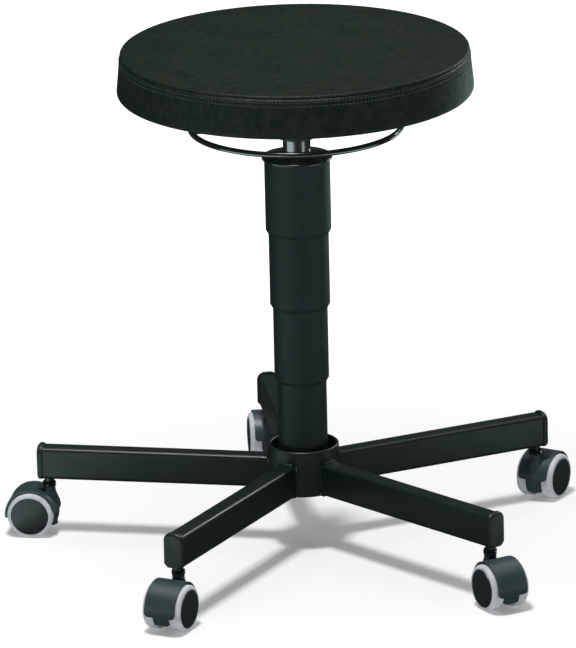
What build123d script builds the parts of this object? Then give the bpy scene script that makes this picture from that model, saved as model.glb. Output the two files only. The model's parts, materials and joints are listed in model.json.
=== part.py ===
"""Rolling stool: round padded seat, gas lift, ring lever and a five-arm caster base.

Millimetres, +Z up. The floor is z = 0, the column axis is the Z axis and the rear arm points to +Y.
Heights build up from the floor: casters, arms, column, cover, lever, seat.
"""

import os
from math import cos, radians, sin

from build123d import *

# Casters
WHEEL_R = 23.5
TRAIL = 18.0
WEB_HALF = 7.5
WEB_CUT = 13.0
WEB_ROUND = 1.0
WHEEL_GAP = 0.7
TREAD_WIDTH = 12.5
TREAD_DEPTH = 4.0
TREAD_ROUND = 3.2
TREAD_EDGE = 1.0
WHEEL_SHELL = 3.0
FACE_STEP = 0.5
FACE_DOME = 0.6
FACE_FLAT_R = 5.0
AXLE_INSET = 4.5
HOOD_GAP = 1.0
HOOD_THICK = 2.0
HOOD_HALF = 16.5
HOOD_FRONT_HALF = 16.0
HOOD_START = -10.0
HOOD_END = 178.0
HOOD_CORNER = 4.0
AXLE_R = 3.0
BOSS_RISE = 1.0
BOSS_TOP_R = 6.2
BOSS_TAPER = 8.0
STEM_SHOW = 9.5
COLLAR_R = 6.9
COLLAR_HEIGHT = 5.2
COLLAR_GROOVE = 0.7
SLEEVE_R = 6.5
CASTER_TURNS = (-2.5, 1.5, 2.0, -14.5, 34.0)

# Base
ARM_COUNT = 5
FIRST_ARM_ANGLE = 90.0
ARM_HEIGHT = 33.5
ARM_WIDTH = 20.0
ARM_WALL = 2.0
ARM_CORNER = 4.0
ARM_END_R = 270.5
END_HEAD = 6.0
END_LIP = 1.3
END_CROWN = 2.4
END_FLAT = 2.5
END_ROUND = 3.2
END_CUT = 3.2
END_EDGE = 0.8
PLUG_LENGTH = 26.0
STEM_INSET = 4.5
HUB_R = 36.25
HUB_WALL = 3.25
HUB_HEIGHT = 47.5
HUB_RECESS = 12.0
HUB_WEB = 4.0
HUB_RIM = 1.5
SOCKET_WALL = 4.0

# Column and gas lift
STROKE = 130.0
COLUMN_R = 25.0
COLUMN_WALL = 2.0
COLUMN_LENGTH = 207.5
COLUMN_RAISE = 1.0
COLUMN_TAPER = 1.2
COLUMN_FLOOR = 4.0
BUSH_LENGTH = 82.0
BUSH_RIM = 3.0
BUSH_INSET = 0.4
CYLINDER_R = 14.0
CYLINDER_WALL = 2.0
CYLINDER_TAPER = 0.8
CYLINDER_SHOW = 13.6
CYLINDER_RISE = 5.0
HEAD_LENGTH = 6.0
ROD_R = 5.0
ROD_STEP = 1.5
GUIDE_LENGTH = 18.0
PISTON_GAP = 6.0
PISTON_LENGTH = 12.0
PIN_R = 3.5
PIN_LENGTH = 38.0
PIN_GAP = 0.4
CLIP_THICK = 1.6
CLIP_REACH = 3.5
CLIP_DEPTH = 0.8
BALL_R = 1.6
BALL_CIRCLE = 9.4
BALL_COUNT = 16
RACE_R = 12.5
RACE_THICK = 2.4
BUMP_R = 12.0
BUMP_HEIGHT = 14.0
BUMP_WAIST = 1.5
STOP_GAP = 5.2
RUNNING_FIT = 0.05
LOOSE_FIT = 0.3

# Telescopic cover
CAP_CLEARANCE = 7.0
CAP_OVERHANG = 2.5
CAP_EDGE = 2.6
CAP_DOME = 6.0
CAP_ROUND = 1.1
SPIGOT = 8.0
SPIGOT_WALL = 2.0
COVER_STEP = 2.75
COVER_WALL = 1.3
COVER_LIP = 2.5
COVER_NOSE = 2.0
COVER_NOSE_RUN = 3.5
COVER_UPPER_LENGTH = 77.0
COVER_LENGTH = 78.5

# Seat
SEAT_R = 179.5
SEAT_FLARE = 4.0
SEAT_THICK = 44.0
SEAT_CROWN = 2.5
SEAT_FLAT_R = 70.0
EDGE_ROUND = 3.0
FOOT_ROUND = 5.0
SEAM_DROP = 3.8
SKIN = 1.2
FOLD_WIDTH = 38.5
BOARD_INSET = 10.5
BOARD_THICK = 12.0
PLATE_SIDE = 140.0
PLATE_CORNER = 14.0
PLATE_THICK = 3.0
PAN_R = 38.0
PAN_WALL = 2.5
PAN_BEVEL = 3.0
PAN_DEPTH = 21.0
CONE_SEAT_WALL = 5.0
SOCKET_DEPTH = 46.0
BOLT_R = 3.0
BOLT_REACH = 52.0
BOLT_HEAD = 4.0
BOLT_HEAD_R = 5.8
NUT_WALL = 1.0
NUT_FLANGE_R = 9.5
NUT_FLANGE = 1.2
NUT_LENGTH = 10.0

# Ring lever
RING_R = 106.5
RING_DROP = 30.2
WIRE_R = 3.0
SPOKE_STRAIGHT = 9.0
SPOKE_LAND = 16.0
SPOKE_BEND = 9.0
LEVER_GAP = 1.0
LEVER_DIP = 8.0
DISC_R = 24.0
DISC_THICK = 3.0

# Heights and radii that follow, from the floor up
axle_z = WHEEL_R
hood_r = WHEEL_R + HOOD_GAP
web_r = hood_r + HOOD_THICK
rim_r = WHEEL_R - TREAD_DEPTH
wheel_inner = WEB_HALF + WHEEL_GAP
wheel_outer = wheel_inner + TREAD_WIDTH
axle_half = wheel_outer - AXLE_INSET
boss_top_z = axle_z + web_r + BOSS_RISE
arm_bottom_z = boss_top_z + STEM_SHOW
arm_mid_z = arm_bottom_z + ARM_HEIGHT / 2
arm_top_z = arm_bottom_z + ARM_HEIGHT
arm_angles = [FIRST_ARM_ANGLE + 360 / ARM_COUNT * i for i in range(ARM_COUNT)]
stem_r = ARM_END_R - STEM_INSET
hub_top_z = arm_bottom_z + HUB_HEIGHT
hub_bore_r = HUB_R - HUB_WALL
seat_step_z = hub_top_z - HUB_RECESS
column_bottom_z = arm_bottom_z + COLUMN_RAISE
column_top_z = column_bottom_z + COLUMN_LENGTH
column_floor_z = column_bottom_z + COLUMN_FLOOR
column_bore_r = COLUMN_R - COLUMN_WALL
column_foot_r = COLUMN_R - COLUMN_TAPER
race_low_z = column_floor_z + RACE_THICK
race_up_z = race_low_z + 2 * BALL_R + LOOSE_FIT
bump_z = race_up_z + RACE_THICK
cylinder_bottom_z = bump_z + BUMP_HEIGHT + STOP_GAP + STROKE
cylinder_bore_r = CYLINDER_R - CYLINDER_WALL
cap_z = column_top_z + BUSH_RIM + STROKE + CAP_CLEARANCE
cover_lower_r = COLUMN_R + COVER_STEP
cover_middle_r = cover_lower_r + COVER_STEP
cover_upper_r = cover_middle_r + COVER_STEP
upper_bore_r = cover_upper_r - COVER_WALL
cover_upper_z = cap_z - COVER_UPPER_LENGTH
cover_middle_z = cover_upper_z - COVER_LENGTH
cover_lower_z = cover_middle_z - COVER_LENGTH
socket_bottom_z = cap_z + CAP_EDGE + CAP_DOME + CYLINDER_SHOW
plate_bottom_z = socket_bottom_z + SOCKET_DEPTH
pan_floor_z = plate_bottom_z - PAN_DEPTH
cylinder_top_z = pan_floor_z + CYLINDER_RISE
wire_z = plate_bottom_z - LEVER_GAP - WIRE_R
ring_z = wire_z - RING_DROP
disc_bottom_z = wire_z - DISC_THICK / 2
board_bottom_z = plate_bottom_z + PLATE_THICK
board_top_z = board_bottom_z + BOARD_THICK
board_r = SEAT_R - BOARD_INSET
seat_bottom_z = board_bottom_z - SKIN
seat_edge_z = seat_bottom_z + SEAT_THICK
fold_r = SEAT_R - FOLD_WIDTH
UP = (Align.CENTER, Align.CENTER, Align.MIN)

os.makedirs("parts", exist_ok=True)


def export(part, name):
    """Label a finished piece and write it as its own file."""
    part.label = name
    export_step(part, f"parts/{name}.step")


def turned(points):
    """Revolve a closed outline of (radius, z) points about the column axis."""
    with BuildPart() as piece:
        with BuildSketch(Plane.XZ):
            with BuildLine():
                Polyline(*points, close=True)
            make_face()
        revolve(axis=Axis.Z)
    return piece.part


def around(part):
    """Repeat a piece modelled on the +X arm at every arm."""
    with BuildPart() as group:
        with Locations(*[Location((0, 0, 0), (0, 0, angle)) for angle in arm_angles]):
            add(part)
    return group.part


# Hub
with BuildPart() as hub_shell:
    with Locations((0, 0, arm_bottom_z)):
        Cylinder(HUB_R, HUB_HEIGHT, align=UP)
        Cylinder(hub_bore_r, HUB_HEIGHT, align=UP, mode=Mode.SUBTRACT)
    fillet(hub_shell.edges().group_by(Axis.Z)[-1], HUB_RIM)
export(hub_shell.part, "hub_shell")

sleeve_wall_r = COLUMN_R + SOCKET_WALL
foot_run = seat_step_z - column_bottom_z
hub_foot_r = COLUMN_R - COLUMN_TAPER * (seat_step_z - arm_bottom_z) / foot_run
hub_socket = turned(
    [
        (hub_foot_r, arm_bottom_z),
        (hub_bore_r, arm_bottom_z),
        (hub_bore_r, arm_bottom_z + HUB_WEB),
        (sleeve_wall_r, arm_bottom_z + HUB_WEB),
        (sleeve_wall_r, seat_step_z - HUB_WEB),
        (hub_bore_r, seat_step_z - HUB_WEB),
        (hub_bore_r, seat_step_z),
        (COLUMN_R, seat_step_z),
    ]
)
export(hub_socket, "hub_socket")

# Arms
arm_bore_width = ARM_WIDTH - 2 * ARM_WALL
arm_bore_height = ARM_HEIGHT - 2 * ARM_WALL
arm_bore_corner = ARM_CORNER - ARM_WALL
arm_root_r = HUB_R - HUB_WALL
with BuildPart() as arm:
    with BuildSketch(Plane.YZ.offset(arm_root_r)):
        with Locations((0, arm_mid_z)):
            RectangleRounded(ARM_WIDTH, ARM_HEIGHT, ARM_CORNER)
            RectangleRounded(arm_bore_width, arm_bore_height, arm_bore_corner, mode=Mode.SUBTRACT)
    extrude(amount=ARM_END_R - arm_root_r)
    Cylinder(HUB_R, 4 * arm_top_z, mode=Mode.SUBTRACT)
    with BuildSketch(Plane.XY.offset(arm_bottom_z)):
        with Locations((stem_r, 0)):
            Circle(SLEEVE_R)
            Rectangle(2 * SLEEVE_R, 2 * SLEEVE_R, align=(Align.MIN, Align.CENTER))
    extrude(amount=ARM_WALL, mode=Mode.SUBTRACT)
export(around(arm.part), "base_arms")

# End plugs with the caster sockets
sleeve_length = arm_bore_height - ARM_WALL
with BuildPart() as end_plug:
    with BuildSketch(Plane.YZ.offset(ARM_END_R)):
        with BuildLine():
            half = ARM_WIDTH / 2 + END_LIP
            head_top = arm_top_z + END_CROWN
            arch = half - END_FLAT
            cut_z = arm_bottom_z + END_CUT
            Line((END_CUT - half, arm_bottom_z), (half - END_CUT, arm_bottom_z))
            Line((half - END_CUT, arm_bottom_z), (half, cut_z))
            Line((half, cut_z), (half, head_top - arch))
            RadiusArc((half, head_top - arch), (half - arch, head_top), -arch)
            Line((half - arch, head_top), (arch - half, head_top))
            RadiusArc((arch - half, head_top), (-half, head_top - arch), -arch)
            Line((-half, head_top - arch), (-half, cut_z))
            Line((-half, cut_z), (END_CUT - half, arm_bottom_z))
        make_face()
    extrude(amount=END_HEAD)
    head_end = end_plug.faces().sort_by(Axis.X)[-1]
    fillet(head_end.edges().filter_by(lambda e: e.center().Z > arm_bottom_z + 1), END_ROUND)
    head_root = end_plug.faces().sort_by(Axis.X)[0]
    fillet(head_root.edges().filter_by(lambda e: e.center().Z > cut_z), END_EDGE)
    with BuildSketch(Plane.YZ.offset(ARM_END_R)):
        with Locations((0, arm_mid_z)):
            RectangleRounded(arm_bore_width, arm_bore_height, arm_bore_corner)
    extrude(amount=-PLUG_LENGTH)
    with Locations((stem_r, 0, arm_bottom_z)):
        Cylinder(SLEEVE_R, sleeve_length, align=UP, mode=Mode.SUBTRACT)
export(around(end_plug.part), "arm_end_plugs")

sleeve_top_z = arm_bottom_z + sleeve_length
with BuildPart() as stem_sleeve:
    with Locations((stem_r, 0, arm_bottom_z)):
        Cylinder(SLEEVE_R, sleeve_length, align=UP)
        Cylinder(ROD_R, sleeve_length, align=UP, mode=Mode.SUBTRACT)
export(around(stem_sleeve.part), "stem_sleeves")

stem_foot_z = axle_z - 1
collar_z = boss_top_z + LOOSE_FIT
collar_top_z = collar_z + COLLAR_HEIGHT
stem = turned(
    [
        (0, stem_foot_z),
        (ROD_R, stem_foot_z),
        (ROD_R, collar_z),
        (COLLAR_R - 0.3, collar_z),
        (COLLAR_R, collar_z + 0.2 * COLLAR_HEIGHT),
        (COLLAR_R, collar_z + 0.45 * COLLAR_HEIGHT),
        (COLLAR_R - COLLAR_GROOVE, collar_z + 0.55 * COLLAR_HEIGHT),
        (COLLAR_R, collar_z + 0.7 * COLLAR_HEIGHT),
        (COLLAR_R - 0.3, collar_z + 0.9 * COLLAR_HEIGHT),
        (ROD_R, collar_top_z),
        (ROD_R, sleeve_top_z - 1),
        (ROD_R - 1, sleeve_top_z),
        (0, sleeve_top_z),
    ]
)
with BuildPart() as caster_stem:
    with Locations((stem_r, 0, 0)):
        add(stem)
export(around(caster_stem.part), "caster_stems")

# Column tube with its closed foot
column_tube = turned(
    [
        (ROD_R + LOOSE_FIT, column_bottom_z),
        (column_foot_r, column_bottom_z),
        (COLUMN_R, seat_step_z),
        (COLUMN_R, column_top_z),
        (column_bore_r, column_top_z),
        (column_bore_r, seat_step_z),
        (column_foot_r - COLUMN_WALL, column_floor_z),
        (ROD_R + LOOSE_FIT, column_floor_z),
    ]
)
export(column_tube, "column_tube")

bush_bore_r = CYLINDER_R + RUNNING_FIT
guide_bush = turned(
    [
        (bush_bore_r, column_top_z - BUSH_LENGTH),
        (column_bore_r, column_top_z - BUSH_LENGTH),
        (column_bore_r, column_top_z),
        (COLUMN_R - BUSH_INSET, column_top_z),
        (COLUMN_R - BUSH_INSET, column_top_z + BUSH_RIM),
        (bush_bore_r, column_top_z + BUSH_RIM),
    ]
)
export(guide_bush, "guide_bush")

# Thrust bearing at the foot of the rod
race_bore_r = ROD_R + LOOSE_FIT
race_lower = turned(
    [
        (race_bore_r, column_floor_z),
        (RACE_R, column_floor_z),
        (RACE_R, race_low_z),
        (race_bore_r, race_low_z),
    ]
)
export(race_lower, "thrust_race_lower")

with BuildPart() as thrust_balls:
    with Locations((0, 0, race_low_z + BALL_R)):
        with PolarLocations(BALL_CIRCLE, BALL_COUNT):
            Sphere(BALL_R)
export(thrust_balls.part, "thrust_balls")

race_upper = turned(
    [
        (ROD_R, race_up_z),
        (RACE_R, race_up_z),
        (RACE_R, bump_z),
        (ROD_R, bump_z),
    ]
)
export(race_upper, "thrust_race_upper")

bump_stop = turned(
    [
        (ROD_R, bump_z),
        (BUMP_R - 1, bump_z),
        (BUMP_R, bump_z + 0.2 * BUMP_HEIGHT),
        (BUMP_R - BUMP_WAIST, bump_z + 0.5 * BUMP_HEIGHT),
        (BUMP_R, bump_z + 0.8 * BUMP_HEIGHT),
        (BUMP_R - 1, bump_z + BUMP_HEIGHT),
        (ROD_R, bump_z + BUMP_HEIGHT),
    ]
)
export(bump_stop, "bump_stop")

# Piston rod, piston and foot clip
piston_z = cylinder_bottom_z + GUIDE_LENGTH + PISTON_GAP
piston_top_z = piston_z + PISTON_LENGTH
clip_top_z = column_bottom_z - LOOSE_FIT
clip_z = clip_top_z - CLIP_THICK
rod_foot_z = clip_z - 2
groove_r = ROD_R - CLIP_DEPTH
piston_rod = turned(
    [
        (0, rod_foot_z),
        (ROD_R, rod_foot_z),
        (ROD_R, clip_z),
        (groove_r, clip_z),
        (groove_r, clip_top_z),
        (ROD_R, clip_top_z),
        (ROD_R, piston_z),
        (ROD_R - ROD_STEP, piston_z),
        (ROD_R - ROD_STEP, piston_top_z + 2),
        (0, piston_top_z + 2),
    ]
)
export(piston_rod, "piston_rod")

piston = turned(
    [
        (ROD_R - ROD_STEP, piston_z),
        (cylinder_bore_r - RUNNING_FIT, piston_z),
        (cylinder_bore_r - RUNNING_FIT, piston_top_z),
        (ROD_R - ROD_STEP, piston_top_z),
    ]
)
export(piston, "piston")

with BuildPart() as rod_clip:
    with BuildSketch(Plane.XY.offset(clip_z)):
        Circle(ROD_R + CLIP_REACH)
        Circle(groove_r, mode=Mode.SUBTRACT)
        Rectangle(
            2 * (ROD_R + CLIP_REACH), 1.4 * groove_r, align=(Align.MIN, Align.CENTER), mode=Mode.SUBTRACT
        )
    extrude(amount=CLIP_THICK)
export(rod_clip.part, "rod_clip")

# Pressure cylinder and its release pin
cone_top_r = CYLINDER_R - CYLINDER_TAPER
cone_top_z = pan_floor_z + PLATE_THICK
head_z = socket_bottom_z - HEAD_LENGTH
pin_bore_r = PIN_R + RUNNING_FIT
pressure_cylinder = turned(
    [
        (cylinder_bore_r, cylinder_bottom_z),
        (CYLINDER_R, cylinder_bottom_z),
        (CYLINDER_R, socket_bottom_z),
        (cone_top_r, cone_top_z),
        (cone_top_r, cylinder_top_z),
        (pin_bore_r, cylinder_top_z),
        (pin_bore_r, head_z),
        (cylinder_bore_r, head_z),
    ]
)
export(pressure_cylinder, "pressure_cylinder")

rod_guide = turned(
    [
        (ROD_R + RUNNING_FIT, cylinder_bottom_z),
        (cylinder_bore_r, cylinder_bottom_z),
        (cylinder_bore_r, cylinder_bottom_z + GUIDE_LENGTH),
        (ROD_R + RUNNING_FIT, cylinder_bottom_z + GUIDE_LENGTH),
    ]
)
export(rod_guide, "rod_guide")

pin_top_z = disc_bottom_z - PIN_GAP
release_pin = turned(
    [
        (0, pin_top_z - PIN_LENGTH),
        (PIN_R, pin_top_z - PIN_LENGTH),
        (PIN_R, pin_top_z - 1),
        (PIN_R - 1, pin_top_z),
        (0, pin_top_z),
    ]
)
export(release_pin, "release_pin")

# Telescopic cover
cap_r = cover_upper_r + CAP_OVERHANG
cap_top_z = cap_z + CAP_EDGE + CAP_DOME
with BuildPart() as cover_cap:
    add(
        turned(
            [
                (CYLINDER_R, cap_z),
                (upper_bore_r - SPIGOT_WALL, cap_z),
                (upper_bore_r - SPIGOT_WALL, cap_z - SPIGOT),
                (upper_bore_r, cap_z - SPIGOT),
                (upper_bore_r, cap_z),
                (cap_r, cap_z),
                (cap_r, cap_z + CAP_EDGE),
                (CYLINDER_R + 2, cap_top_z),
                (CYLINDER_R, cap_top_z),
            ]
        )
    )
    rim = cover_cap.edges().filter_by(GeomType.CIRCLE).sort_by(SortBy.RADIUS)[-2:]
    fillet(rim, CAP_ROUND)
export(cover_cap.part, "cover_cap")

cover_upper = turned(
    [
        (cover_middle_r + LOOSE_FIT, cover_upper_z),
        (cover_upper_r - COVER_NOSE, cover_upper_z),
        (cover_upper_r, cover_upper_z + COVER_NOSE_RUN),
        (cover_upper_r, cap_z),
        (upper_bore_r, cap_z),
        (upper_bore_r, cover_upper_z + COVER_LIP),
        (cover_middle_r + LOOSE_FIT, cover_upper_z + COVER_LIP),
    ]
)
export(cover_upper, "cover_upper")


def cover_section(outer_r, bottom_z, hanger_z, guide_r, hanger_bore_r):
    """One hanging sleeve of the cover: inward lip at the foot, outward flange resting on the hanger's lip."""
    bore_r = outer_r - COVER_WALL
    lip_bore_r = guide_r + LOOSE_FIT
    flange_r = hanger_bore_r - LOOSE_FIT
    flange_z = hanger_z + COVER_LIP + LOOSE_FIT
    return turned(
        [
            (lip_bore_r, bottom_z),
            (outer_r - COVER_NOSE, bottom_z),
            (outer_r, bottom_z + COVER_NOSE_RUN),
            (outer_r, flange_z),
            (flange_r, flange_z),
            (flange_r, flange_z + COVER_LIP),
            (bore_r, flange_z + COVER_LIP),
            (bore_r, bottom_z + COVER_LIP),
            (lip_bore_r, bottom_z + COVER_LIP),
        ]
    )


middle_bore_r = cover_middle_r - COVER_WALL
cover_middle = cover_section(cover_middle_r, cover_middle_z, cover_upper_z, cover_lower_r, upper_bore_r)
export(cover_middle, "cover_middle")
cover_lower = cover_section(cover_lower_r, cover_lower_z, cover_middle_z, COLUMN_R, middle_bore_r)
export(cover_lower, "cover_lower")


# Seat upholstery
def seat_form(inset):
    """Crowned round cushion with flaring sides, drawn in all round by the inset."""
    low_r = SEAT_R - inset
    high_r = SEAT_R - SEAT_FLARE - inset
    low_z = seat_bottom_z + inset
    edge_z = seat_edge_z - inset
    round_low = FOOT_ROUND - inset
    round_high = EDGE_ROUND - inset
    crown_r = (SEAT_FLAT_R + high_r) / 2
    with BuildPart() as form:
        with BuildSketch(Plane.XZ):
            with BuildLine():
                Line((0, low_z), (low_r - round_low, low_z))
                ThreePointArc(
                    (low_r - round_low, low_z),
                    (low_r - 0.29 * round_low, low_z + 0.29 * round_low),
                    (low_r, low_z + round_low),
                )
                Line((low_r, low_z + round_low), (high_r, edge_z - round_high))
                ThreePointArc(
                    (high_r, edge_z - round_high),
                    (high_r - 0.27 * round_high, edge_z - 0.3 * round_high),
                    (high_r - round_high, edge_z),
                )
                ThreePointArc(
                    (high_r - round_high, edge_z),
                    (crown_r, edge_z + 0.72 * SEAT_CROWN),
                    (SEAT_FLAT_R, edge_z + SEAT_CROWN),
                )
                Line((SEAT_FLAT_R, edge_z + SEAT_CROWN), (0, edge_z + SEAT_CROWN))
                Line((0, edge_z + SEAT_CROWN), (0, low_z))
            make_face()
        revolve(axis=Axis.Z)
    return form.part


seam_plane = Plane.XY.offset(seat_edge_z - SEAM_DROP)
skin_outer = seat_form(0)
skin_inner = seat_form(SKIN)
with BuildPart() as seat_top_panel:
    add(skin_outer)
    add(skin_inner, mode=Mode.SUBTRACT)
    split(bisect_by=seam_plane, keep=Keep.TOP)
export(seat_top_panel.part, "seat_top_panel")

with BuildPart() as seat_side_band:
    add(skin_outer)
    add(skin_inner, mode=Mode.SUBTRACT)
    split(bisect_by=seam_plane, keep=Keep.BOTTOM)
    with Locations((0, 0, seat_bottom_z)):
        Cylinder(fold_r, 4 * SKIN, mode=Mode.SUBTRACT)
export(seat_side_band.part, "seat_side_band")

with BuildPart() as seat_foam:
    add(skin_inner)
    with Locations((0, 0, board_bottom_z)):
        Cylinder(board_r, BOARD_THICK, align=UP, mode=Mode.SUBTRACT)
export(seat_foam.part, "seat_foam")

# Seat board and its fixings
bolt_places = GridLocations(2 * BOLT_REACH, 2 * BOLT_REACH, 2, 2).locations
nut_r = BOLT_R + NUT_WALL
with BuildPart() as seat_board:
    with BuildSketch(Plane.XY.offset(board_bottom_z)):
        Circle(board_r)
        with Locations(*bolt_places):
            Circle(nut_r, mode=Mode.SUBTRACT)
    extrude(amount=BOARD_THICK)
    with BuildSketch(Plane.XY.offset(board_top_z)):
        with Locations(*bolt_places):
            Circle(NUT_FLANGE_R)
    extrude(amount=-NUT_FLANGE, mode=Mode.SUBTRACT)
export(seat_board.part, "seat_board")

nut = turned(
    [
        (BOLT_R, board_top_z - NUT_LENGTH),
        (nut_r, board_top_z - NUT_LENGTH),
        (nut_r, board_top_z - NUT_FLANGE),
        (NUT_FLANGE_R, board_top_z - NUT_FLANGE),
        (NUT_FLANGE_R, board_top_z),
        (BOLT_R, board_top_z),
    ]
)
with BuildPart() as seat_tee_nuts:
    with Locations(*bolt_places):
        add(nut)
export(seat_tee_nuts.part, "seat_tee_nuts")

with BuildPart() as seat_bolts:
    with BuildSketch(Plane.XY.offset(plate_bottom_z - BOLT_HEAD)):
        with Locations(*bolt_places):
            RegularPolygon(BOLT_HEAD_R, 6)
    extrude(amount=BOLT_HEAD)
    with BuildSketch(Plane.XY.offset(plate_bottom_z)):
        with Locations(*bolt_places):
            Circle(BOLT_R)
    extrude(amount=board_top_z - 1 - plate_bottom_z)
export(seat_bolts.part, "seat_bolts")

# Seat plate with the lever pan and the cone socket
cone_seat_r = CYLINDER_R + CONE_SEAT_WALL
window_half = WIRE_R + 2.0
window_floor_z = wire_z - WIRE_R - LEVER_DIP
with BuildPart() as seat_plate:
    with BuildSketch(Plane.XY.offset(plate_bottom_z)):
        RectangleRounded(PLATE_SIDE, PLATE_SIDE, PLATE_CORNER)
        with Locations(*bolt_places):
            Circle(BOLT_R + LOOSE_FIT, mode=Mode.SUBTRACT)
    extrude(amount=PLATE_THICK)
    add(
        turned(
            [
                (PAN_R - PAN_WALL, plate_bottom_z),
                (PAN_R, plate_bottom_z),
                (PAN_R, pan_floor_z + PAN_BEVEL),
                (PAN_R - PAN_BEVEL, pan_floor_z),
                (cone_seat_r, pan_floor_z),
                (cone_seat_r, socket_bottom_z),
                (CYLINDER_R, socket_bottom_z),
                (cone_top_r, cone_top_z),
                (PAN_R - PAN_WALL, cone_top_z),
            ]
        )
    )
    with Locations((0, 0, window_floor_z)):
        Box(3 * PAN_R, 2 * window_half, plate_bottom_z - window_floor_z, align=UP, mode=Mode.SUBTRACT)
export(seat_plate.part, "seat_plate")

# Ring lever
with BuildPart() as ring_lever:
    with Locations((0, 0, ring_z)):
        Torus(RING_R, WIRE_R)
    with BuildLine(Plane.XZ) as spoke_path:
        spoke = FilletPolyline(
            (DISC_R - WIRE_R, wire_z),
            (PAN_R + SPOKE_STRAIGHT, wire_z),
            (RING_R - SPOKE_LAND, ring_z),
            (RING_R, ring_z),
            radius=SPOKE_BEND,
        )
    with BuildSketch(Plane(origin=spoke @ 0, z_dir=spoke % 0)):
        Circle(WIRE_R)
    sweep(path=spoke)
    mirror(about=Plane.YZ)
    with Locations((0, 0, disc_bottom_z)):
        Cylinder(DISC_R, DISC_THICK, align=UP)
export(ring_lever.part, "ring_lever")

# Caster pieces, modelled with the stem on the Z axis and the wheels trailing to +X
axle_plane = Plane(origin=(TRAIL, 0, axle_z), x_dir=(0, 1, 0), z_dir=(1, 0, 0))
axle_axis = Axis((TRAIL, 0, axle_z), (0, 1, 0))
axle_place = Location((TRAIL, 0, axle_z), (90, 0, 0))


def about_axle(radius, angle):
    """A point in the XZ plane at an angle round the axle, from the trailing side over the top."""
    return (TRAIL + radius * cos(radians(angle)), axle_z + radius * sin(radians(angle)))


with BuildPart() as shroud:
    with BuildSketch(Plane.XZ):
        with BuildLine():
            top_angle = (HOOD_START + HOOD_END) / 2
            ThreePointArc(
                about_axle(web_r, HOOD_START), about_axle(web_r, top_angle), about_axle(web_r, HOOD_END)
            )
            Line(about_axle(web_r, HOOD_END), about_axle(hood_r, HOOD_END))
            ThreePointArc(
                about_axle(hood_r, HOOD_END), about_axle(hood_r, top_angle), about_axle(hood_r, HOOD_START)
            )
            Line(about_axle(hood_r, HOOD_START), about_axle(web_r, HOOD_START))
        make_face()
    extrude(amount=HOOD_HALF, both=True)
    with BuildSketch(Plane.XY):
        with BuildLine():
            Polyline(
                (TRAIL + web_r, HOOD_HALF),
                (TRAIL + web_r, -HOOD_HALF),
                (TRAIL - web_r, -HOOD_FRONT_HALF),
                (TRAIL - web_r, HOOD_FRONT_HALF),
                close=True,
            )
        make_face()
    extrude(amount=axle_z + web_r, mode=Mode.INTERSECT)
    corners = shroud.edges().filter_by(GeomType.LINE).filter_by(lambda e: e.length < 2 * HOOD_THICK)
    fillet(corners, HOOD_CORNER)

with BuildPart() as web:
    with BuildSketch(Plane.XZ):
        with Locations((TRAIL, axle_z)):
            Circle(web_r)
        with Locations((TRAIL, axle_z - WEB_CUT)):
            Rectangle(4 * web_r, 2 * web_r, align=(Align.CENTER, Align.MAX), mode=Mode.SUBTRACT)
    extrude(amount=WEB_HALF, both=True)
    fillet(web.edges().filter_by(GeomType.CIRCLE), WEB_ROUND)

boss = turned(
    [
        (0, axle_z - WEB_CUT),
        (WEB_HALF, axle_z - WEB_CUT),
        (WEB_HALF, boss_top_z - BOSS_TAPER),
        (BOSS_TOP_R, boss_top_z - BOSS_TAPER / 2),
        (BOSS_TOP_R, boss_top_z),
        (0, boss_top_z),
    ]
)
with BuildPart() as hood:
    add(web.part)
    add(shroud.part)
    add(boss)
    with Locations((0, 0, stem_foot_z - LOOSE_FIT)):
        Cylinder(ROD_R + RUNNING_FIT, 4 * WHEEL_R, align=UP, mode=Mode.SUBTRACT)
    with Locations(axle_place):
        Cylinder(AXLE_R, 4 * WHEEL_R, mode=Mode.SUBTRACT)

with BuildPart() as axle:
    with Locations(axle_place):
        Cylinder(AXLE_R, 2 * axle_half)

with BuildPart() as tread:
    with BuildSketch(axle_plane):
        with BuildLine():
            Line((wheel_inner, rim_r), (wheel_outer, rim_r))
            Line((wheel_outer, rim_r), (wheel_outer, WHEEL_R - TREAD_ROUND))
            RadiusArc(
                (wheel_outer, WHEEL_R - TREAD_ROUND), (wheel_outer - TREAD_ROUND, WHEEL_R), -TREAD_ROUND
            )
            Line((wheel_outer - TREAD_ROUND, WHEEL_R), (wheel_inner + TREAD_EDGE, WHEEL_R))
            Line((wheel_inner + TREAD_EDGE, WHEEL_R), (wheel_inner, WHEEL_R - TREAD_EDGE))
            Line((wheel_inner, WHEEL_R - TREAD_EDGE), (wheel_inner, rim_r))
        make_face()
    revolve(axis=axle_axis)

hub_bore = AXLE_R + RUNNING_FIT
hub_wall = hub_bore + WHEEL_SHELL
shell_in = wheel_outer - WHEEL_SHELL
face_edge = wheel_outer + FACE_STEP
face_middle = face_edge + FACE_DOME
face_r = rim_r - 2 * FACE_STEP
with BuildPart() as wheel:
    with BuildSketch(axle_plane):
        with BuildLine():
            Polyline(
                (face_middle, 0),
                (axle_half + 1, 0),
                (axle_half + 1, hub_bore),
                (wheel_inner, hub_bore),
                (wheel_inner, hub_wall),
                (shell_in, hub_wall),
                (shell_in, rim_r - WHEEL_SHELL),
                (wheel_inner, rim_r - WHEEL_SHELL),
                (wheel_inner, rim_r),
                (wheel_outer - FACE_STEP, rim_r),
                (wheel_outer - FACE_STEP, rim_r - FACE_STEP),
                (face_edge, face_r),
            )
            ThreePointArc(
                (face_edge, face_r),
                (face_edge + 0.7 * FACE_DOME, (face_r + FACE_FLAT_R) / 2),
                (face_middle, FACE_FLAT_R),
            )
            Line((face_middle, FACE_FLAT_R), (face_middle, 0))
        make_face()
    revolve(axis=axle_axis)

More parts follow.
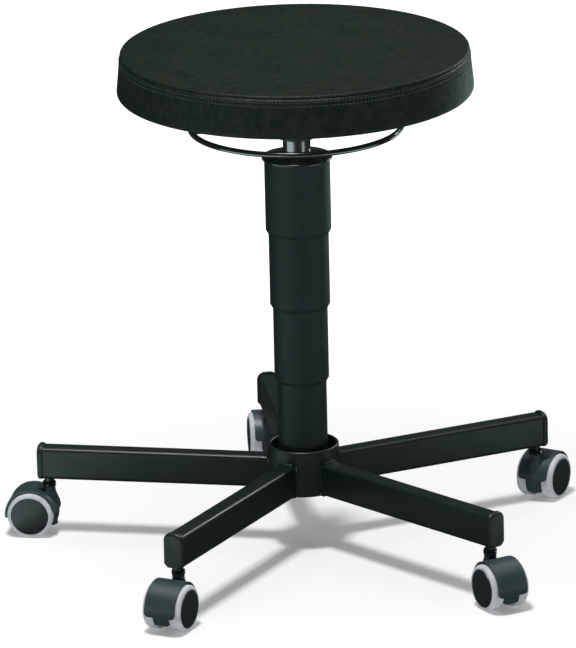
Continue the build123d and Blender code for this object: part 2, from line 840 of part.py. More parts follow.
# Casters at the arm ends, each turned about its own stem
for number, angle in enumerate(arm_angles, start=1):
    stem_x = stem_r * cos(radians(angle))
    stem_y = stem_r * sin(radians(angle))
    place = Location((stem_x, stem_y, 0), (0, 0, angle + CASTER_TURNS[number - 1]))
    caster_pieces = {
        "hood": hood.part,
        "axle": axle.part,
        "wheel_left": wheel.part,
        "tread_left": tread.part,
        "wheel_right": wheel.part.mirror(Plane.XZ),
        "tread_right": tread.part.mirror(Plane.XZ),
    }
    for name, piece in caster_pieces.items():
        with BuildPart() as placed:
            with Locations(place):
                add(piece)
        export(placed.part, f"caster_{number}_{name}")
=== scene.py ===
"""Rolling stool dressed for the photograph: sewn seat cover, finishes, floor, lights and camera."""

import json
import math

import bpy
from mathutils import Matrix, Vector

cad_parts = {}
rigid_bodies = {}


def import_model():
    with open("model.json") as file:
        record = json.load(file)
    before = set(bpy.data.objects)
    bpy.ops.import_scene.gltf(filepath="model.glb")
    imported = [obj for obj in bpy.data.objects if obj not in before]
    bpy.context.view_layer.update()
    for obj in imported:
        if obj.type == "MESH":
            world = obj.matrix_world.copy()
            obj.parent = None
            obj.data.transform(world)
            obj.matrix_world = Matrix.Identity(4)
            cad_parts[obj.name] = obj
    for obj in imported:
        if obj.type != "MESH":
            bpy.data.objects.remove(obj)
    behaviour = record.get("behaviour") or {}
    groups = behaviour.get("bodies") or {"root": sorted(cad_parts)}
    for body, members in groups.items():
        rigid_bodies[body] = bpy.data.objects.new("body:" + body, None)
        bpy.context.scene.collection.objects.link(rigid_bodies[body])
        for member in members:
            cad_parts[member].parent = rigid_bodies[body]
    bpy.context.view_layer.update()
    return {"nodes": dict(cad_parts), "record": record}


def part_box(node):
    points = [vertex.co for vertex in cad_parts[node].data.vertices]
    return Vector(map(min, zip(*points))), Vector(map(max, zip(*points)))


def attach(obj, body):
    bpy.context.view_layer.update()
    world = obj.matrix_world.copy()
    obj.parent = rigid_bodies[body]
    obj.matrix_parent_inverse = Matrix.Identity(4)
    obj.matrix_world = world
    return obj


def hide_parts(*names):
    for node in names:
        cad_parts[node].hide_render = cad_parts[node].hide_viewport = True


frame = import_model()
nodes = frame["nodes"]

# Seat sizes in metres
band_low, band_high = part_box("seat_side_band")
panel_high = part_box("seat_top_panel")[1]
SEAT_BOTTOM = band_low.z
SEAT_TOP = panel_high.z
SEAT_FOOT_R = band_high.x
SEAM_R = panel_high.x
CROWN = 0.0025
SEAM_DROP = 0.0038
EDGE_Z = SEAT_TOP - CROWN
SEAM_Z = EDGE_Z - SEAM_DROP
SEAT_SEGMENTS = 192
GRID_SPAN = 48
SKIN = 0.0012

# Shaping tools
SHARP_ANGLE = 60


def start_clean():
    """Leave edit mode and select nothing."""
    if bpy.context.object and bpy.context.object.mode != "OBJECT":
        bpy.ops.object.mode_set(mode="OBJECT")
    bpy.ops.object.select_all(action="DESELECT")


def settle(name):
    """Name the active piece and put its place into its mesh."""
    piece = bpy.context.object
    if piece.mode != "OBJECT":
        bpy.ops.object.mode_set(mode="OBJECT")
    bpy.ops.object.transform_apply(location=True, rotation=True, scale=True)
    piece.name = name
    piece.data.name = name
    return piece


def apply_modifiers(piece):
    """Apply every modifier of a piece in order."""
    start_clean()
    piece.select_set(True)
    bpy.context.view_layer.objects.active = piece
    for modifier in list(piece.modifiers):
        bpy.ops.object.modifier_apply(modifier=modifier.name)


def smooth(piece):
    """Shade a piece smooth apart from its sharper edges."""
    start_clean()
    piece.select_set(True)
    bpy.context.view_layer.objects.active = piece
    bpy.ops.object.shade_smooth_by_angle(angle=math.radians(SHARP_ANGLE))


def grow_rings(profile, start):
    """Extrude the selected ring through (radius, z) steps about the column axis."""
    radius, height = start
    for next_radius, next_height in profile:
        bpy.ops.mesh.extrude_edges_move(
            TRANSFORM_OT_translate={"value": (0, 0, next_height - height)}
        )
        ratio = next_radius / radius
        bpy.ops.transform.resize(value=(ratio, ratio, 1), center_override=(0, 0, next_height))
        radius, height = next_radius, next_height


def arc_steps(centre, radius, start, end, count):
    """Points on an arc in the (radius, z) plane, the first left out."""
    steps = []
    for i in range(1, count + 1):
        angle = math.radians(start + (end - start) * i / count)
        steps.append((centre[0] + radius * math.cos(angle), centre[1] + radius * math.sin(angle)))
    return steps


# Finishes: the noise range over which colour and gloss drift, and the grain of the leather
COLOUR_FROM = 0.35
COLOUR_TO = 0.65
GLOSS_FROM = 0.3
GLOSS_TO = 0.7
PEBBLE_SMOOTHNESS = 0.6
CREASE_SCALE = 2.3
CREASE_DETAIL = 4.0
CREASE_SHARE = 0.5


def finish(name, colour, roughness, metallic=0.0, mirror=0.5):
    """A new material with its main shader set; mirror is the strength of its plain reflection."""
    material = bpy.data.materials.new(name)
    material.use_nodes = True
    shader = material.node_tree.nodes["Principled BSDF"]
    shader.inputs["Base Color"].default_value = (*colour, 1)
    shader.inputs["Roughness"].default_value = roughness
    shader.inputs["Metallic"].default_value = metallic
    shader.inputs["Specular IOR Level"].default_value = mirror
    return material


def clear_coat(material, ior, roughness):
    """Lay a clear glossy coat over a finish."""
    shader = material.node_tree.nodes["Principled BSDF"]
    shader.inputs["Coat Weight"].default_value = 1.0
    shader.inputs["Coat IOR"].default_value = ior
    shader.inputs["Coat Roughness"].default_value = roughness


def object_noise(material, scale, detail=3.0, stretch=(1, 1, 1)):
    """Noise on the piece's own coordinates, in cells per metre."""
    tree = material.node_tree
    place = tree.nodes.new("ShaderNodeTexCoord")
    mapping = tree.nodes.new("ShaderNodeMapping")
    mapping.inputs["Scale"].default_value = stretch
    noise = tree.nodes.new("ShaderNodeTexNoise")
    noise.inputs["Scale"].default_value = scale
    noise.inputs["Detail"].default_value = detail
    tree.links.new(place.outputs["Object"], mapping.inputs["Vector"])
    tree.links.new(mapping.outputs["Vector"], noise.inputs["Vector"])
    return noise.outputs["Fac"]


def vary_colour(material, scale, dark, light, stretch=(1, 1, 1)):
    """Drift the colour between two tones."""
    tree = material.node_tree
    ramp = tree.nodes.new("ShaderNodeValToRGB")
    ramp.color_ramp.elements[0].position = COLOUR_FROM
    ramp.color_ramp.elements[1].position = COLOUR_TO
    ramp.color_ramp.elements[0].color = (*dark, 1)
    ramp.color_ramp.elements[1].color = (*light, 1)
    tree.links.new(object_noise(material, scale, stretch=stretch), ramp.inputs["Fac"])
    shader = tree.nodes["Principled BSDF"]
    tree.links.new(ramp.outputs["Color"], shader.inputs["Base Color"])


def vary_gloss(material, scale, low, high):
    """Drift the roughness between two values."""
    tree = material.node_tree
    span = tree.nodes.new("ShaderNodeMapRange")
    span.inputs["From Min"].default_value = GLOSS_FROM
    span.inputs["From Max"].default_value = GLOSS_TO
    span.inputs["To Min"].default_value = low
    span.inputs["To Max"].default_value = high
    tree.links.new(object_noise(material, scale), span.inputs["Value"])
    shader = tree.nodes["Principled BSDF"]
    tree.links.new(span.outputs["Result"], shader.inputs["Roughness"])


def raise_grain(material, heights, strength, distance):
    """Bump the surface by a height signal."""
    tree = material.node_tree
    bump = tree.nodes.new("ShaderNodeBump")
    bump.inputs["Strength"].default_value = strength
    bump.inputs["Distance"].default_value = distance
    tree.links.new(heights, bump.inputs["Height"])
    shader = tree.nodes["Principled BSDF"]
    tree.links.new(bump.outputs["Normal"], shader.inputs["Normal"])


def leather_grain(material, cell_scale):
    """Pebbled cells of an embossed artificial leather."""
    tree = material.node_tree
    place = tree.nodes.new("ShaderNodeTexCoord")
    cells = tree.nodes.new("ShaderNodeTexVoronoi")
    cells.feature = "SMOOTH_F1"
    cells.inputs["Scale"].default_value = cell_scale
    cells.inputs["Smoothness"].default_value = PEBBLE_SMOOTHNESS
    tree.links.new(place.outputs["Object"], cells.inputs["Vector"])
    mix = tree.nodes.new("ShaderNodeMath")
    mix.operation = "MULTIPLY_ADD"
    mix.inputs[1].default_value = CREASE_SHARE
    creases = object_noise(material, cell_scale * CREASE_SCALE, CREASE_DETAIL)
    tree.links.new(creases, mix.inputs[0])
    tree.links.new(cells.outputs["Distance"], mix.inputs[2])
    return mix.outputs["Value"]


seat_leather = finish("seat_leather", (0.0052, 0.0118, 0.0084), 0.5, mirror=0.2)
vary_colour(seat_leather, 110, (0.002, 0.0082, 0.0066), (0.0092, 0.015, 0.0092), stretch=(1, 2.5, 1))
vary_gloss(seat_leather, 24, 0.44, 0.58)
raise_grain(seat_leather, leather_grain(seat_leather, 480), 0.7, 0.0005)

thread = finish("seam_thread", (0.016, 0.03, 0.03), 0.4, mirror=0.3)
vary_colour(thread, 700, (0.012, 0.023, 0.023), (0.022, 0.038, 0.038))

powder_coat = finish("powder_coat", (0.003, 0.0085, 0.0076), 0.38, mirror=0.6)
vary_colour(powder_coat, 30, (0.0026, 0.0098, 0.0088), (0.0034, 0.0114, 0.0102))
vary_gloss(powder_coat, 60, 0.34, 0.42)
raise_grain(powder_coat, object_noise(powder_coat, 1400, 2.0), 0.12, 0.0003)

gloss_coat = finish("gloss_coat", (0.002, 0.004, 0.004), 0.12, mirror=1.0)
vary_colour(gloss_coat, 40, (0.0016, 0.0034, 0.0034), (0.0026, 0.0046, 0.0046))
vary_gloss(gloss_coat, 90, 0.09, 0.16)
clear_coat(gloss_coat, 2.0, 0.08)

cylinder_chrome = finish("cylinder_chrome", (0.36, 0.31, 0.33), 0.1, metallic=1.0)
vary_colour(cylinder_chrome, 60, (0.33, 0.28, 0.3), (0.39, 0.34, 0.36))
vary_gloss(cylinder_chrome, 200, 0.08, 0.14)

cover_plastic = finish("cover_plastic", (0.0066, 0.0145, 0.014), 0.5, mirror=0.25)
vary_colour(cover_plastic, 26, (0.0062, 0.0165, 0.0158), (0.0076, 0.0187, 0.018))
vary_gloss(cover_plastic, 70, 0.45, 0.55)
raise_grain(cover_plastic, object_noise(cover_plastic, 1800, 3.0), 0.2, 0.0003)

column_coat = finish("column_coat", (0.0062, 0.0135, 0.0126), 0.45, mirror=0.25)
vary_colour(column_coat, 30, (0.0066, 0.017, 0.0158), (0.008, 0.0192, 0.0178))
vary_gloss(column_coat, 60, 0.4, 0.5)
raise_grain(column_coat, object_noise(column_coat, 1400, 2.0), 0.15, 0.0003)

cap_plastic = finish("cap_plastic", (0.003, 0.0052, 0.0052), 0.18, mirror=0.6)
vary_colour(cap_plastic, 40, (0.0025, 0.0046, 0.0046), (0.0036, 0.006, 0.006))
vary_gloss(cap_plastic, 80, 0.15, 0.24)
clear_coat(cap_plastic, 1.6, 0.12)

plug_plastic = finish("plug_plastic", (0.003, 0.0082, 0.0075), 0.42, mirror=0.5)
vary_colour(plug_plastic, 50, (0.0032, 0.0086, 0.008), (0.0045, 0.0105, 0.0096))
vary_gloss(plug_plastic, 120, 0.36, 0.48)
raise_grain(plug_plastic, object_noise(plug_plastic, 2200, 2.0), 0.1, 0.0002)

caster_plastic = finish("caster_plastic", (0.009, 0.0185, 0.0185), 0.42, mirror=0.8)
vary_colour(caster_plastic, 60, (0.0078, 0.0165, 0.0165), (0.0102, 0.0205, 0.0205))
vary_gloss(caster_plastic, 160, 0.34, 0.46)
raise_grain(caster_plastic, object_noise(caster_plastic, 1500, 3.0), 0.3, 0.0004)

# A lighter copy of the caster plastic, for the hoods only: painted sheen that stands in for the broad
# highlight the hoods catch
hood_plastic_painted_sheen = finish("hood_plastic_painted_sheen", (0.022, 0.044, 0.048), 0.42, mirror=0.8)
vary_colour(hood_plastic_painted_sheen, 60, (0.019, 0.04, 0.044), (0.025, 0.048, 0.052))
vary_gloss(hood_plastic_painted_sheen, 160, 0.34, 0.46)
raise_grain(hood_plastic_painted_sheen, object_noise(hood_plastic_painted_sheen, 1500, 3.0), 0.3, 0.0004)

tread_rubber = finish("tread_rubber", (0.56, 0.59, 0.62), 0.5)
vary_colour(tread_rubber, 90, (0.5, 0.53, 0.56), (0.6, 0.63, 0.66))
vary_gloss(tread_rubber, 150, 0.45, 0.62)
raise_grain(tread_rubber, object_noise(tread_rubber, 1500, 3.0), 0.1, 0.0002)

stem_steel = finish("stem_steel", (0.006, 0.0085, 0.0085), 0.24, mirror=0.8)
vary_colour(stem_steel, 200, (0.005, 0.0072, 0.0072), (0.0085, 0.011, 0.011))
vary_gloss(stem_steel, 300, 0.18, 0.32)

bright_steel = finish("bright_steel", (0.58, 0.58, 0.6), 0.3, metallic=1.0)
vary_colour(bright_steel, 150, (0.5, 0.5, 0.52), (0.64, 0.64, 0.66))
vary_gloss(bright_steel, 400, 0.22, 0.4)

bush_plastic = finish("bush_plastic", (0.7, 0.7, 0.66), 0.5)
vary_colour(bush_plastic, 60, (0.64, 0.64, 0.6), (0.74, 0.74, 0.7))
vary_gloss(bush_plastic, 120, 0.42, 0.58)

stop_rubber = finish("stop_rubber", (0.02, 0.02, 0.02), 0.8)
vary_colour(stop_rubber, 200, (0.016, 0.016, 0.016), (0.026, 0.026, 0.026))
vary_gloss(stop_rubber, 300, 0.7, 0.85)

board_stain = finish("board_stain", (0.008, 0.009, 0.0085), 0.6, mirror=0.2)
vary_colour(board_stain, 30, (0.006, 0.0072, 0.0068), (0.012, 0.0125, 0.0115), stretch=(1, 14, 1))
vary_gloss(board_stain, 60, 0.55, 0.7)
raise_grain(board_stain, object_noise(board_stain, 30, 6.0, (1, 14, 1)), 0.15, 0.0004)

foam = finish("foam", (0.72, 0.68, 0.55), 0.9)
vary_colour(foam, 300, (0.66, 0.62, 0.5), (0.76, 0.72, 0.6))
vary_gloss(foam, 500, 0.8, 0.95)

slot_finish = {
    "seat_skin": seat_leather,
    "seat_foam": foam,
    "seat_board": board_stain,
    "powder_coat": powder_coat,
    "gloss_coat": gloss_coat,
    "cover_plastic": cover_plastic,
    "cap_plastic": cap_plastic,
    "plug_plastic": plug_plastic,
    "stem_steel": stem_steel,
    "bright_steel": bright_steel,
    "bush_plastic": bush_plastic,
    "stop_rubber": stop_rubber,
    "caster_plastic": caster_plastic,
    "tread_rubber": tread_rubber,
}
for subpart in frame["record"]["subparts"]:
    node = nodes[subpart["node"]]
    node.data.materials.clear()
    node.data.materials.append(slot_finish[subpart["material_slot"]])

# Nodes whose finish differs from the rest of their slot
nodes["column_tube"].data.materials[0] = column_coat
nodes["pressure_cylinder"].data.materials[0] = cylinder_chrome
# The hoods take the lighter copy of the caster plastic, with its painted sheen
for name, node in nodes.items():
    if name.endswith("_hood"):
        node.data.materials[0] = hood_plastic_painted_sheen

# Seat cover: a grid-filled top, a tight edge, the seam, the band and the fold under the board
EDGE_ROUND = 0.0024
FOOT_ROUND = 0.005
SEAM_DEPTH = 0.0019
TOP_RING_R = 0.15
TOP_STEPS = 6
EDGE_STEPS = 5
BAND_STEPS = 9
FOOT_STEPS = 6
BAND_START = 0.0098
BAND_SWELL = 0.0013
FOLD_WIDTH = 0.038
FOLD_SHARES = (0.4, 0.7, 1)
FOLD_R = SEAT_FOOT_R - FOLD_WIDTH
edge_r = SEAM_R - EDGE_ROUND

# The seam and the dents of the two stitch rows, as steps outwards and upwards from the seam line
SEAM_STEPS = (
    (-0.0001, 0.0009),
    (-SEAM_DEPTH, 0),
    (0.0002, -0.0010),
    (0.0007, -0.0019),
    (0.0003, -0.0030),
    (0.0009, -0.0042),
    (0.0010, -0.0058),
    (0.0005, -0.0070),
    (0.0011, -0.0082),
)


def seat_cover_form():
    """The sewn cover as one skin, before it is filled."""
    start_clean()
    bpy.ops.mesh.primitive_circle_add(
        vertices=SEAT_SEGMENTS, radius=TOP_RING_R, location=(0, 0, EDGE_Z)
    )
    bpy.ops.object.mode_set(mode="EDIT")
    bpy.ops.mesh.select_all(action="SELECT")
    top_step = (edge_r - TOP_RING_R) / TOP_STEPS
    top_run = [(TOP_RING_R + top_step * i, EDGE_Z) for i in range(1, TOP_STEPS + 1)]
    edge_run = arc_steps((edge_r, EDGE_Z - EDGE_ROUND), EDGE_ROUND, 90, 0, EDGE_STEPS)
    seam_run = [(SEAM_R + outwards, SEAM_Z + upwards) for outwards, upwards in SEAM_STEPS]
    band_top = SEAM_Z - BAND_START
    band_foot = SEAT_BOTTOM + FOOT_ROUND
    band_r = SEAM_R + BAND_SWELL
    band_run = []
    for i in range(BAND_STEPS):
        share = i / (BAND_STEPS - 1)
        band_run.append(
            (band_r + (SEAT_FOOT_R - band_r) * share, band_top + (band_foot - band_top) * share)
        )
    foot_run = arc_steps((SEAT_FOOT_R - FOOT_ROUND, band_foot), FOOT_ROUND, 0, -90, FOOT_STEPS)
    fold_run = [(SEAT_FOOT_R - FOLD_WIDTH * share, SEAT_BOTTOM) for share in FOLD_SHARES]
    grow_rings(
        top_run + edge_run + seam_run + band_run + foot_run + fold_run, (TOP_RING_R, EDGE_Z)
    )
    bpy.ops.mesh.select_all(action="DESELECT")
    bpy.ops.object.mode_set(mode="OBJECT")
    cover = bpy.context.object
    for edge in cover.data.edges:
        edge.select = max(edge.vertices) < SEAT_SEGMENTS
    bpy.ops.object.mode_set(mode="EDIT")
    bpy.ops.mesh.select_mode(type="EDGE")
    bpy.ops.mesh.fill_grid(span=GRID_SPAN)
    bpy.ops.mesh.select_all(action="SELECT")
    bpy.ops.mesh.normals_make_consistent(inside=False)
    return settle("seat_cover")


# How the cover swells over its foam
SWELL_FRAMES = 20
SWELL_LIMIT = 0.0026
SWELL_SMOOTHING = 25
SEAM_HOLD = 0.009


def is_held(point):
    """The edge with its seam and the fold under the board keep their place."""
    on_edge = point.z > SEAM_Z - SEAM_HOLD and math.hypot(point.x, point.y) > edge_r
    return on_edge or point.z < SEAT_BOTTOM + SKIN


def fill_with_foam(cover):
    """Swell the cover between its seams by a short cloth run, with the swell capped."""
    rest = [v.co.copy() for v in cover.data.vertices]
    held = cover.vertex_groups.new(name="held")
    for v in cover.data.vertices:
        held.add([v.index], 1.0 if is_held(v.co) else 0.0, "REPLACE")
    cloth = cover.modifiers.new("fill", "CLOTH")
    cloth.settings.quality = 6
    cloth.settings.mass = 0.4
    cloth.settings.tension_stiffness = 25
    cloth.settings.compression_stiffness = 25
    cloth.settings.shear_stiffness = 12
    cloth.settings.bending_stiffness = 4
    cloth.settings.vertex_group_mass = "held"
    cloth.settings.use_pressure = True
    cloth.settings.uniform_pressure_force = 4
    cloth.settings.effector_weights.gravity = 0
    cloth.point_cache.frame_start = 1
    cloth.point_cache.frame_end = SWELL_FRAMES
    for step in range(1, SWELL_FRAMES + 1):
        bpy.context.scene.frame_set(step)
    apply_modifiers(cover)
    bpy.context.scene.frame_set(1)
    bpy.ops.object.mode_set(mode="EDIT")
    bpy.ops.mesh.select_mode(type="VERT")
    bpy.ops.mesh.select_all(action="DESELECT")
    bpy.ops.object.mode_set(mode="OBJECT")
    for v, at_rest in zip(cover.data.vertices, rest):
        move = v.co - at_rest
        if move.length > SWELL_LIMIT:
            v.co = at_rest + move.normalized() * SWELL_LIMIT
        v.select = at_rest.z > SEAM_Z and not is_held(at_rest)
    bpy.ops.object.mode_set(mode="EDIT")
    bpy.ops.mesh.vertices_smooth(factor=0.5, repeat=SWELL_SMOOTHING)
    bpy.ops.object.mode_set(mode="OBJECT")


# Gathers that the stitches pull into the cover
GATHERS = 62
GATHER_DRIFTS = 17
GATHER_PHASE = 0.6
FINE_GATHERS = 2.6 * GATHERS
FINE_SHARE = 0.5
GATHER_DEPTH = 0.00014
GATHER_REACH = 0.009


def gather_at_seam(cover):
    """Draw the band in by small uneven gathers that fade away below the seam."""
    for v in cover.data.vertices:
        below = SEAM_Z - v.co.z
        if 0 < below < GATHER_REACH:
            radius = math.hypot(v.co.x, v.co.y)
            turn = math.atan2(v.co.y, v.co.x)
            wave = math.sin(GATHERS * turn) * math.sin(GATHER_DRIFTS * turn + GATHER_PHASE)
            wave += FINE_SHARE * math.sin(FINE_GATHERS * turn)
            pull = GATHER_DEPTH * wave * (1 - below / GATHER_REACH)
            v.co.x *= 1 - pull / radius
            v.co.y *= 1 - pull / radius


cover = seat_cover_form()
fill_with_foam(cover)
finer = cover.modifiers.new("finer", "SUBSURF")
finer.levels = 1
finer.render_levels = 1
apply_modifiers(cover)
gather_at_seam(cover)
skin = cover.modifiers.new("skin", "SOLIDIFY")
skin.thickness = SKIN
skin.offset = -1
apply_modifiers(cover)
smooth(cover)
cover.data.materials.append(seat_leather)
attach(cover, "seat")
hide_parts("seat_top_panel", "seat_side_band", "seat_foam")

# Wires and threads that repeat round the seat, as shares of their length
WIRE_SIDES = 6
WIRE_MIDDLE = 0.6
WIRE_END = 0.2
WIRE_TAPER = 0.5
FACING = 0.9


def ring_of_wires(name, radius, height, pitch, length, thickness, bend):
    """Short wires with bent ends, one behind the other round the column axis."""
    start_clean()
    bpy.ops.mesh.primitive_cylinder_add(
        vertices=WIRE_SIDES,
        radius=thickness / 2,
        depth=length * WIRE_MIDDLE,
        rotation=(math.pi / 2, 0, 0),
    )
    bpy.ops.object.transform_apply(location=True, rotation=True, scale=True)
    wire = bpy.context.object
    for end in (1, -1):
        bpy.ops.object.mode_set(mode="EDIT")
        bpy.ops.mesh.select_mode(type="FACE")
        bpy.ops.mesh.select_all(action="DESELECT")
        bpy.ops.object.mode_set(mode="OBJECT")
        for face in wire.data.polygons:
            face.select = face.normal.y * end > FACING
        bpy.ops.object.mode_set(mode="EDIT")
        bpy.ops.mesh.extrude_region_move(
            TRANSFORM_OT_translate={"value": (bend[0], end * length * WIRE_END, bend[1])}
        )
        bpy.ops.transform.resize(value=(WIRE_TAPER,) * 3)
    bpy.ops.mesh.select_all(action="SELECT")
    bpy.ops.transform.translate(value=(radius, 0, height))
    count = round(2 * math.pi * radius / pitch)
    bpy.ops.mesh.spin(
        steps=count - 1,
        dupli=True,
        angle=2 * math.pi * (count - 1) / count,
        center=(0, 0, 0),
        axis=(0, 0, 1),
    )
    ring = settle(name)
    smooth(ring)
    return ring


# Twin rows of stitches below the seam
STITCH_PITCH = 0.0039
STITCH_LENGTH = 0.003
STITCH_THICK = 0.0013
STITCH_SINK = 0.0004
UPPER_ROW = -0.003
LOWER_ROW = -0.007


def surface_radius(height):
    """Radius of the finished cover at a height of its band."""
    place = cover.ray_cast((2 * SEAT_FOOT_R, 0, height), (-1, 0, 0))[1]
    return place.x


for row_name, row_offset in (("stitches_upper", UPPER_ROW), ("stitches_lower", LOWER_ROW)):
    row_z = SEAM_Z + row_offset
    row = ring_of_wires(
        row_name, surface_radius(row_z), row_z, STITCH_PITCH, STITCH_LENGTH, STITCH_THICK, (-STITCH_SINK, 0)
    )
    row.data.materials.append(thread)
    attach(row, "seat")

# Staples that hold the fold to the board
STAPLE_PITCH = 0.024
STAPLE_LENGTH = 0.011
STAPLE_THICK = 0.0011
STAPLE_INSET = 0.007
STAPLE_R = FOLD_R + STAPLE_INSET

staples = ring_of_wires(
    "fold_staples", STAPLE_R, SEAT_BOTTOM, STAPLE_PITCH, STAPLE_LENGTH, STAPLE_THICK, (0, STAPLE_THICK)
)
staples.data.materials.append(bright_steel)
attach(staples, "seat")

# Weld beads where the arms meet the hub
arms_low, arms_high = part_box("base_arms")
HUB_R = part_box("hub_shell")[1].x
ARM_WIDTH = 0.02
ARM_HEIGHT = arms_high.z - arms_low.z
ARM_MIDDLE = (arms_high.z + arms_low.z) / 2
ARM_CORNER = 0.004
ARM_COUNT = 5
BEAD_R = 0.0014
BEAD_STEP = 0.0016
BEAD_CORNER_STEPS = 4
BEAD_RIPPLE = 0.2
BEAD_RIPPLE_TURN = 2.1


def weld_beads():
    """One bead round the end of each arm, lying on the hub."""
    start_clean()
    bpy.ops.mesh.primitive_plane_add(size=1, rotation=(math.pi / 2, 0, math.pi / 2))
    bead = bpy.context.object
    bead.scale = (ARM_WIDTH, ARM_HEIGHT, 1)
    bpy.ops.object.transform_apply(location=True, rotation=True, scale=True)
    bpy.ops.object.mode_set(mode="EDIT")
    bpy.ops.mesh.select_all(action="SELECT")
    bpy.ops.mesh.bevel(offset=ARM_CORNER, segments=BEAD_CORNER_STEPS, affect="VERTICES")
    bpy.ops.mesh.delete(type="ONLY_FACE")
    bpy.ops.mesh.select_all(action="SELECT")
    bpy.ops.mesh.subdivide(number_cuts=int(ARM_WIDTH / BEAD_STEP))
    bpy.ops.transform.translate(value=(0, 0, ARM_MIDDLE))
    bpy.ops.object.mode_set(mode="OBJECT")
    for v in bead.data.vertices:
        v.co.x = math.sqrt(HUB_R ** 2 - v.co.y ** 2)
    bpy.ops.object.convert(target="CURVE")
    bead.data.bevel_depth = BEAD_R
    bead.data.bevel_resolution = 2
    for i, point in enumerate(bead.data.splines[0].points):
        point.radius = 1 + BEAD_RIPPLE * math.sin(i * BEAD_RIPPLE_TURN)
    bpy.ops.object.convert(target="MESH")
    bpy.ops.object.mode_set(mode="EDIT")
    bpy.ops.mesh.select_all(action="SELECT")
    bpy.ops.transform.rotate(
        value=-math.pi / 2, orient_axis="Z", center_override=(0, 0, 0), orient_type="GLOBAL"
    )
    bpy.ops.mesh.spin(
        steps=ARM_COUNT - 1,
        dupli=True,
        angle=2 * math.pi * (ARM_COUNT - 1) / ARM_COUNT,
        center=(0, 0, 0),
        axis=(0, 0, 1),
    )
    bpy.ops.mesh.select_all(action="SELECT")
    bpy.ops.mesh.normals_make_consistent(inside=False)
    return settle("weld_beads")


beads = weld_beads()
smooth(beads)
beads.data.materials.append(powder_coat)
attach(beads, "base")

# Floor
FLOOR_SIZE = 30
GLOW_START = 0.35
GLOW_END = 1.1
GLOW_NEAR = 0.24
GLOW_FAR = 0.9
start_clean()
bpy.ops.mesh.primitive_plane_add(size=FLOOR_SIZE, location=(0, 0, 0))
floor = settle("floor")
floor_paper = finish("floor_paper", (0.8, 0.8, 0.8), 0.9)
floor_tree = floor_paper.node_tree
floor_shader = floor_tree.nodes["Principled BSDF"]
floor_shader.inputs["Emission Color"].default_value = (1, 1, 1, 1)
floor_place = floor_tree.nodes.new("ShaderNodeTexCoord")
floor_radius = floor_tree.nodes.new("ShaderNodeVectorMath")
floor_radius.operation = "LENGTH"
floor_glow = floor_tree.nodes.new("ShaderNodeMapRange")
floor_glow.interpolation_type = "SMOOTHSTEP"
floor_glow.inputs["From Min"].default_value = GLOW_START
floor_glow.inputs["From Max"].default_value = GLOW_END
floor_glow.inputs["To Min"].default_value = GLOW_NEAR
floor_glow.inputs["To Max"].default_value = GLOW_FAR
floor_tree.links.new(floor_place.outputs["Object"], floor_radius.inputs[0])
floor_tree.links.new(floor_radius.outputs["Value"], floor_glow.inputs["Value"])
floor_tree.links.new(floor_glow.outputs["Result"], floor_shader.inputs["Emission Strength"])
floor.data.materials.append(floor_paper)
floor.visible_glossy = False

# Lights: a white backdrop behind the floor, which lights the stool only faintly
FILL_STRENGTH = 0.04
BACKDROP_STRENGTH = 1.0
scene = bpy.context.scene
scene.view_settings.view_transform = "Standard"
world = bpy.data.worlds.new("studio")
scene.world = world
world.use_nodes = True
world_tree = world.node_tree
fill_light = world_tree.nodes["Background"]
fill_light.inputs["Color"].default_value = (1, 1, 1, 1)
fill_light.inputs["Strength"].default_value = FILL_STRENGTH
backdrop = world_tree.nodes.new("ShaderNodeBackground")
backdrop.inputs["Color"].default_value = (1, 1, 1, 1)
backdrop.inputs["Strength"].default_value = BACKDROP_STRENGTH
ray_kind = world_tree.nodes.new("ShaderNodeLightPath")
world_mix = world_tree.nodes.new("ShaderNodeMixShader")
world_tree.links.new(ray_kind.outputs["Is Camera Ray"], world_mix.inputs["Fac"])
world_tree.links.new(fill_light.outputs["Background"], world_mix.inputs[1])
world_tree.links.new(backdrop.outputs["Background"], world_mix.inputs[2])
world_tree.links.new(world_mix.outputs["Shader"], world_tree.nodes["World Output"].inputs["Surface"])


def soft_box(name, place, target, width, height, power):
    """A rectangular soft light aimed at a point."""
    light = bpy.data.lights.new(name, "AREA")
    light.shape = "RECTANGLE"
    light.size = width
    light.size_y = height
    light.energy = power
    lamp = bpy.data.objects.new(name, light)
    scene.collection.objects.link(lamp)
    lamp.location = place
    aim = Vector(target) - Vector(place)
    lamp.rotation_euler = aim.to_track_quat("-Z", "Y").to_euler()
    return lamp


key = soft_box("key_front", (-0.4, -0.7, 3.2), (0, 0, 0.1), width=0.55, height=0.55, power=80)
soft_box("overhead", (0, 0.3, 4.0), (0, 0.3, 0), width=4.0, height=4.0, power=50)
rim = soft_box("rim_right", (2.1, 1.75, 1.65), (0, 0, 0.4), width=0.8, height=0.8, power=26)
rim_receivers = bpy.data.collections.new("rim_receivers")
for piece in bpy.data.objects:
    if piece.type == "MESH" and piece != floor:
        rim_receivers.objects.link(piece)
rim.light_linking.receiver_collection = rim_receivers

# Floor cards
CARD_LIFT = 0.003
CARD_TINT = (0.72, 1.0, 0.96)


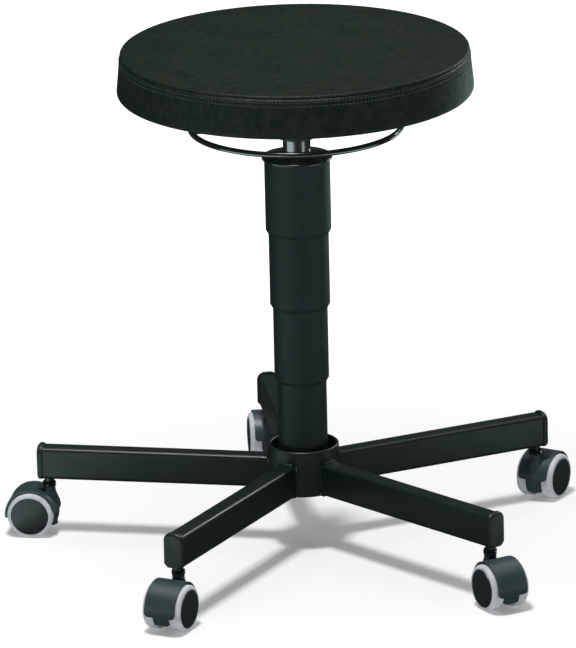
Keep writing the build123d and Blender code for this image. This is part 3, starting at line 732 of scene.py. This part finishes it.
def floor_card(name, place, width, depth, glow):
    """A pale card on the floor that shows only in reflections."""
    x, y = place
    card = soft_box(name, (x, y, CARD_LIFT), (x, y, 1), width, depth, glow * math.pi * width * depth)
    card.data.color = CARD_TINT
    card.visible_camera = False
    card.visible_diffuse = False
    return card


floor_card("card_front_left", (-1.1, -0.55), width=1.6, depth=1.3, glow=1.15)
floor_card("card_front", (0, -0.72), width=0.9, depth=0.76, glow=0.4)
floor_card("card_front_right", (0.78, -0.6), width=0.9, depth=1.1, glow=0.9)
back_card = floor_card("card_back_right", (1.45, 1.2), width=1.2, depth=1.6, glow=2.1)
back_receivers = bpy.data.collections.new("back_receivers")
for piece in rim_receivers.objects:
    if piece != nodes["pressure_cylinder"]:
        back_receivers.objects.link(piece)
back_card.light_linking.receiver_collection = back_receivers

# Only the base throws the key light's shadow, as on the photograph's floor
shadow_casters = bpy.data.collections.new("shadow_casters")
for body, members in frame["record"]["behaviour"]["bodies"].items():
    if body == "base" or body.startswith("caster"):
        for member in members:
            shadow_casters.objects.link(nodes[member])
key.light_linking.blocker_collection = shadow_casters

# Camera
CAMERA_DISTANCE = 7.0
CAMERA_HEIGHT = 2.4503
CAMERA_AZIMUTH = math.radians(-7.6)
CAMERA_PAN = math.radians(-0.105)
CAMERA_PITCH = math.radians(17.567)
CAMERA_ROLL = math.radians(-1.314)
LENS_PIXELS = 7248
FRAME_HEIGHT = 648
SENSOR_MM = 36
CAMERA_REACH = 100

camera_data = bpy.data.cameras.new("camera")
camera_data.lens = LENS_PIXELS * SENSOR_MM / FRAME_HEIGHT
camera_data.clip_end = CAMERA_REACH
camera = bpy.data.objects.new("camera", camera_data)
scene.collection.objects.link(camera)
camera.matrix_world = (
    Matrix.Translation(
        (
            CAMERA_DISTANCE * math.sin(CAMERA_AZIMUTH),
            -CAMERA_DISTANCE * math.cos(CAMERA_AZIMUTH),
            CAMERA_HEIGHT,
        )
    )
    @ Matrix.Rotation(CAMERA_AZIMUTH - CAMERA_PAN, 4, "Z")
    @ Matrix.Rotation(math.pi / 2 - CAMERA_PITCH, 4, "X")
    @ Matrix.Rotation(CAMERA_ROLL, 4, "Z")
)
scene.camera = camera

start_clean()
bpy.context.view_layer.update()
